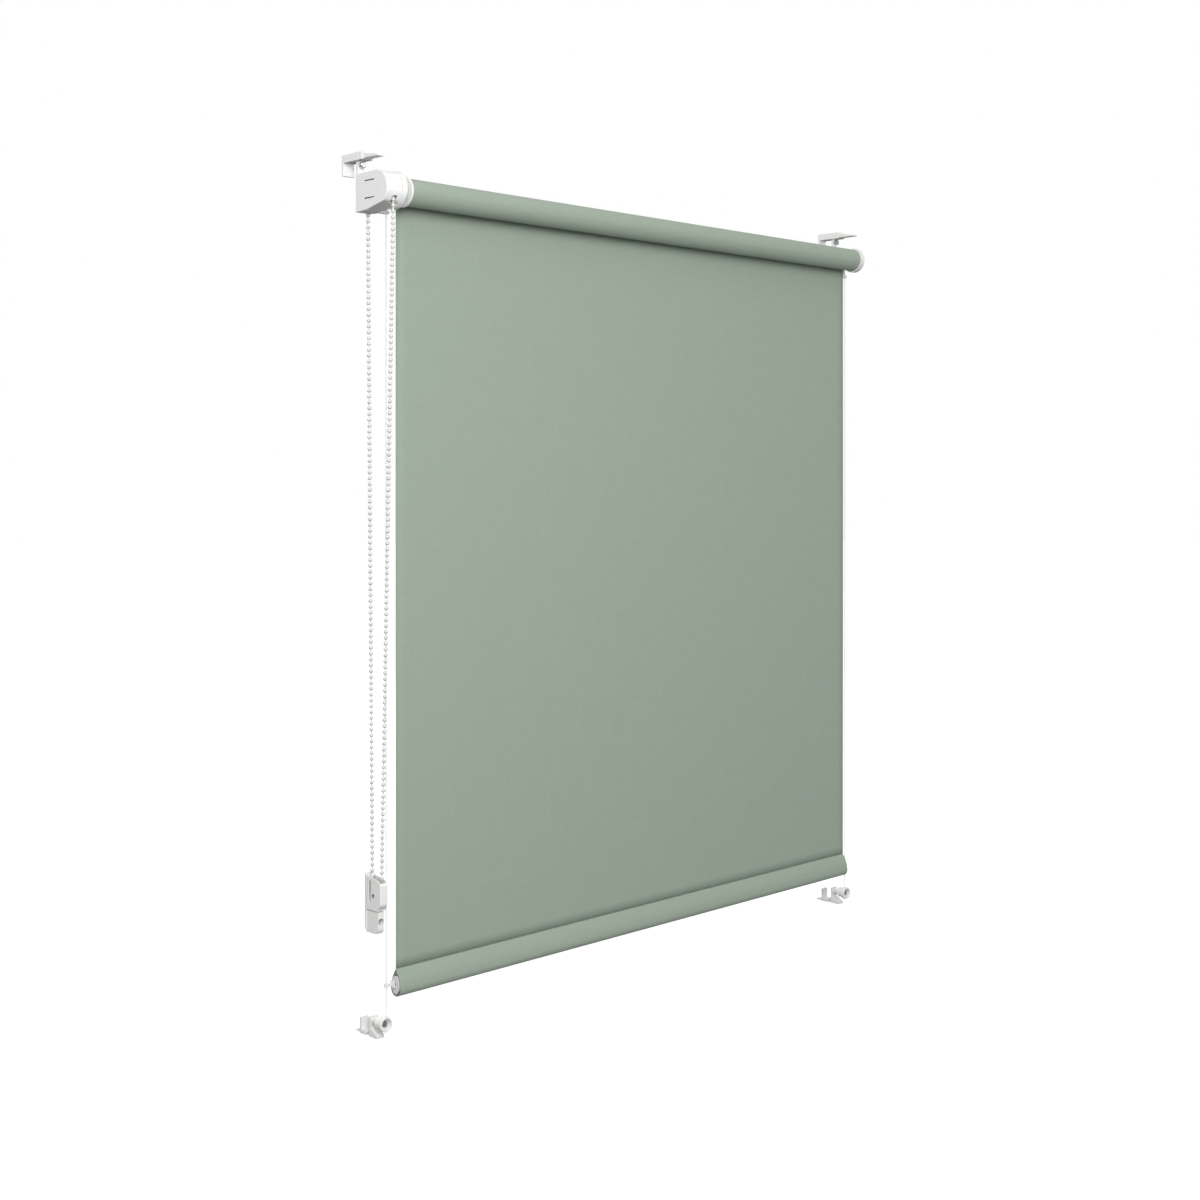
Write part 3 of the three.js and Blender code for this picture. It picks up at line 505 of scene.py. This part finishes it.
finish_piece(panel, "root", "cloth", CLOTH, "cloth_panel")
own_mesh(panel)

# %% The hem, a drop-shaped loop of the same cloth
hem_low, hem_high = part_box("hem_pocket")
hem_half = (hem_high.y - hem_low.y) / 2
hem_y = (hem_high.y + hem_low.y) / 2
HEM_WALL = 0.45 * MM
PEAK_HALF = 0.15 * MM                         # half the width of the drop at its top
PEAK_FOLD = 2.6                               # the inner outline starts this many walls lower
SHOULDER = 0.35                               # share of the height where the drop widens
DROP_STEPS = 12


def drop_outline(inset):
    """Points of the drop from its top, down the front, round the bottom and up behind."""
    half = hem_half - inset
    top, bottom = hem_high.z - inset * PEAK_FOLD, hem_low.z + inset
    middle = bottom + half
    shoulder = top - (hem_high.z - hem_low.z) * SHOULDER
    line = []
    for k in range(DROP_STEPS + 1):
        t = k / DROP_STEPS
        y = (1 - t) ** 2 * PEAK_HALF + 2 * t * (1 - t) * half + t * t * half
        z = (1 - t) ** 2 * top + 2 * t * (1 - t) * shoulder + t * t * middle
        line.append((y, z))
    for k in range(1, DROP_STEPS):
        a = math.pi / 2 * k / DROP_STEPS
        line.append((half * math.cos(a), middle - half * math.sin(a)))
    line.append((0, bottom))
    mirrored = [(-y, z) for y, z in reversed(line[:-1])]
    return [(hem_y - y, z) for y, z in line] + [(hem_y - y, z) for y, z in mirrored]


print(len(drop_outline(0.0)), "points round the drop")


# %% The loop is the drop drawn out along the bar
def loop_strip(name, outer, inner, xs):
    """A closed loop of cloth between two outlines, along X."""
    count, points, faces = len(outer), [], []
    for x in xs:
        points += [(x, y, z) for y, z in outer] + [(x, y, z) for y, z in inner]
    ring = 2 * count
    for s in range(len(xs) - 1):
        for k in range(count):
            n = (k + 1) % count
            a, b = s * ring, (s + 1) * ring
            faces.append((a + k, a + n, b + n, b + k))
            faces.append((a + count + k, b + count + k, b + count + n, a + count + n))
    for base in (0, (len(xs) - 1) * ring):
        for k in range(count):
            n = (k + 1) % count
            faces.append((base + k, base + n, base + count + n, base + count + k))
    return mesh_piece(name, points, faces)


HEM_SECTIONS = 40
xs = [x0 + (x1 - x0) * i / HEM_SECTIONS for i in range(HEM_SECTIONS + 1)]
hem = loop_strip("hem_loop", drop_outline(0.0), drop_outline(HEM_WALL), xs)
hem.data.set_sharp_from_angle(angle=math.radians(50))
finish_piece(hem, "bar", "cloth", CLOTH, "hem_pocket")
print(f"hem {hem_high.z - hem_low.z:.4f} m deep and {2 * hem_half:.4f} m thick")

# %% Stitches along the seam, on both faces
STITCH, STITCH_STEP = 0.42 * MM, 4.4 * MM
SEAM_END = 2 * MM                             # bare cloth left at each end of the seam
capsule = {"kind": "GeometryNodeMeshUVSphere", "values": {"Segments": 6, "Rings": 5},
           "size": STITCH, "scale": (0.8, 1.0, 3.2)}
SEAM_OUT = CLOTH_T / 2 + STITCH + 0.08 * MM   # clears the cloth's wave when it is wound up
seam_z = hem_high.z + 2.0 * MM
for face, sign in (("front", -1), ("rear", 1)):
    line = [(x, panel_y + sign * SEAM_OUT, seam_z) for x in (x0 + SEAM_END, x1 - SEAM_END)]
    stitches = repeated(f"{face}_stitches", line, STITCH_STEP, capsule, THREAD, turn=True)
    finish_piece(stitches, "bar", "cloth", THREAD)

# %% [markdown]
# ## The mouldings
# Real mouldings and turned parts have small rounded edges that catch the light. Each visible
# fitting is a merged copy of its frame solid with a narrow bevel on the sharp edges, and it
# stands for that solid. A copy keeps every size and hole, which modelling again would risk.

# %% The drive cover has a rounder outer rim and two slots through its face
cover_low, cover_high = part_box("drive_cover")
SLOT_LONG, SLOT_TALL, SLOT_DEEP = 17 * MM, 1.2 * MM, 2 * MM
SLOT_RISES = (9.5 * MM, -8.5 * MM)
slot_y = cover_high.y - 23 * MM


def on_cover_rim(vert):
    return abs(vert.co.x - cover_low.x) < 0.05 * MM


def in_a_slot(vert):
    near_z = min(abs(vert.co.z - axis_z - rise) for rise in SLOT_RISES)
    return near_z < SLOT_TALL and abs(vert.co.y - slot_y) < 0.6 * SLOT_LONG


def through_slots():
    """One mesh of two blocks, where the slots go through the cover's wall."""
    work = bmesh.new()
    for rise in SLOT_RISES:
        made = bmesh.ops.create_cube(work, size=1)["verts"]
        bmesh.ops.scale(work, verts=made, vec=(2 * SLOT_DEEP, SLOT_LONG, SLOT_TALL))
        bmesh.ops.translate(work, verts=made, vec=(cover_low.x, slot_y, axis_z + rise))
    mesh = bpy.data.meshes.new("slot_blocks")
    work.to_mesh(mesh)
    work.free()
    blocks = bpy.data.objects.new("slot_blocks", mesh)
    bpy.context.collection.objects.link(blocks)
    return blocks


print(f"slots {SLOT_LONG:.3f} m long, {len(SLOT_RISES)} of them")

# %% Round the edges of a fitting
RIM = 1.4 * MM
SHARP = math.radians(35)                  # an edge sharper than this is rounded
SHADED_SHARP = math.radians(32)           # and one sharper than this still shades as an edge


def softened(name, body, slot, material, width):
    """A merged copy of a frame solid with its sharp edges rounded, standing for that solid."""
    work = bmesh.new()
    work.from_mesh(frame["nodes"][name].data)
    bmesh.ops.remove_doubles(work, verts=work.verts, dist=2e-6)
    bmesh.ops.dissolve_limit(work, angle_limit=math.radians(1), verts=work.verts, edges=work.edges)
    if name == "drive_cover":
        rims = [e for e in work.edges if all(map(on_cover_rim, e.verts))
                and not all(map(in_a_slot, e.verts)) and e.calc_face_angle(0) > SHARP]
        bmesh.ops.bevel(work, geom=rims, offset=RIM, segments=4, profile=0.5,
                        affect="EDGES", clamp_overlap=True)
    mesh = bpy.data.meshes.new(name + "_soft")
    work.to_mesh(mesh)
    work.free()
    piece = bpy.data.objects.new(name + "_soft", mesh)
    bpy.context.collection.objects.link(piece)
    edge = piece.modifiers.new("edges", "BEVEL")
    edge.width, edge.segments, edge.limit_method = width, 2, "ANGLE"
    edge.angle_limit = SHARP
    if name == "drive_cover":
        blocks = through_slots()
        cut = piece.modifiers.new("slots", "BOOLEAN")
        cut.object, cut.operation, cut.solver = blocks, "DIFFERENCE", "EXACT"
        piece.modifiers.move(1, 0)
    applied(piece)
    if name == "drive_cover":
        bpy.data.objects.remove(blocks)
    piece.data.polygons.foreach_set("use_smooth", [True] * len(piece.data.polygons))
    piece.data.set_sharp_from_angle(angle=SHADED_SHARP)
    piece.modifiers.new("flat faces", "WEIGHTED_NORMAL").keep_sharp = True
    applied(piece)
    return finish_piece(piece, body, slot, material, name)


# %% The fittings to round, each with its bevel in millimetres
bodies = {n: body for body, names in frame["record"]["behaviour"]["bodies"].items() for n in names}
slots = {s["node"]: s["material_slot"] for s in frame["record"]["subparts"]}
finishes = {"white_plastic": WHITE, "pale_plastic": PALE, "steel": STEEL, "aluminium": ALUMINIUM,
            "pad": FOAM, "cloth": CLOTH, "wire": CORD, "chain": BEADS}
SOFTENED = {
    "drive_cover": 0.15, "drive_base": 0.4, "drive_plug": 0.4, "idle_plug": 0.4,
    "idle_bracket": 0.5, "left_end_cap": 0.3, "right_end_cap": 0.3, "left_eyelet": 0.35,
    "right_eyelet": 0.35, "holder_plate": 0.4, "holder_body": 0.6, "holder_pulley": 0.2,
    "left_clamp_screw": 0.15, "right_clamp_screw": 0.15, "holder_screw": 0.2,
}
for side in ("left", "right"):
    for part in ("clamp_hook", "clamp_bracket", "foot_body", "foot_jaw", "knob"):
        SOFTENED[f"{side}_{part}"] = 0.4
for name, width in SOFTENED.items():
    softened(name, bodies[name], slots[name], finishes[slots[name]], width * MM)
print(len(SOFTENED), "fittings with rounded edges")

# %% Finish the solids that keep their own shape
for name, solid in frame["nodes"].items():
    if solid.hide_render:
        continue
    solid.data.materials.clear()
    solid.data.materials.append(finishes[slots[name]])
    print(name, "keeps its own shape")

# %% [markdown]
# ## Room and light
# A pale floor below the blind and a bright even surround give the soft studio look. A lamp at
# the front left models the roll, a weaker one at the right opens the shadows, and a wide one
# behind keeps the back of the cloth from going dark.

# %% The floor looks pale but throws little light back up
FLOOR_Z = cad_box[0][2] - 0.02
NEAR, FAR = -9, 12
corners = [(NEAR, NEAR, FLOOR_Z), (FAR, NEAR, FLOOR_Z), (FAR, FAR, FLOOR_Z), (NEAR, FAR, FLOOR_Z)]
floor = mesh_piece("floor", corners, [(0, 1, 2, 3)])
floor_paint = bpy.data.materials.new("pale_floor")
floor_paint.use_nodes = True
tree = floor_paint.node_tree
shader = tree.nodes["Principled BSDF"]
shader.inputs["Roughness"].default_value = 0.9
seen = node(tree, "ShaderNodeLightPath")
pale_mix = node(tree, "ShaderNodeMix", data_type="RGBA")
THROWN_BACK, SEEN = 0.22, 0.95
pale_mix.inputs[MIX_A].default_value = (THROWN_BACK, THROWN_BACK, THROWN_BACK, 1)
pale_mix.inputs[MIX_B].default_value = (SEEN, SEEN, SEEN, 1)
GLOW = 0.5
shader.inputs["Emission Color"].default_value = (1, 1, 1, 1)
glow = math_node(tree, "MULTIPLY", seen.outputs["Is Camera Ray"], GLOW)
tree.links.new(glow, shader.inputs["Emission Strength"])
tree.links.new(seen.outputs["Is Camera Ray"], pale_mix.inputs[0])
tree.links.new(pale_mix.outputs[MIX_OUT], shader.inputs["Base Color"])
floor.data.materials.append(floor_paint)
print(f"floor at {FLOOR_Z:.3f} m")

# %% The surround is white to the eye and a little dimmer as a light
world = bpy.data.worlds.new("surround")
bpy.context.scene.world = world
world.use_nodes = True
tree = world.node_tree
tree.nodes["Background"].inputs["Color"].default_value = (1, 1, 1, 1)
SURROUND, OVERHEAD = 0.8, 0.42
way_up = node(tree, "ShaderNodeSeparateXYZ")
tree.links.new(node(tree, "ShaderNodeTexCoord").outputs["Generated"], way_up.inputs[0])
dimming = math_node(tree, "MULTIPLY", way_up.outputs["Z"], OVERHEAD - SURROUND)
lit = math_node(tree, "ADD", dimming, SURROUND)
seen = node(tree, "ShaderNodeLightPath")
strength = math_node(tree, "MAXIMUM", lit, seen.outputs["Is Camera Ray"])
tree.links.new(strength, tree.nodes["Background"].inputs["Strength"])
print("surround", SURROUND, "level, and", OVERHEAD, "overhead")


# %% Lamps
def lamp(name, place, target, size, power):
    """A square area lamp that faces a target."""
    light = bpy.data.lights.new(name, "AREA")
    light.size, light.energy = size, power
    made = bpy.data.objects.new(name, light)
    made.location = place
    made.rotation_euler = (Vector(target) - Vector(place)).to_track_quat("-Z", "Y").to_euler()
    bpy.context.collection.objects.link(made)


lamp("key", (-0.92, -1.55, 0.35), (0.4, 0, -0.25), 0.9, 31)
lamp("right fill", (1.6, -1.9, 0.1), (0.8, 0, -0.4), 1.0, 7)
lamp("back fill", (0.4, 2.8, 0.3), (0.4, 0, -0.4), 2.0, 30)
sky = bpy.data.lights.new("ceiling", "SUN")
sky.energy, sky.angle = 0.3, math.radians(50)
ceiling = bpy.data.objects.new("ceiling", sky)
ceiling.rotation_euler = (math.radians(32), 0, math.radians(-35))
bpy.context.collection.objects.link(ceiling)
bpy.context.scene.view_settings.view_transform = "Standard"
print(len(bpy.data.lights), "lamps")
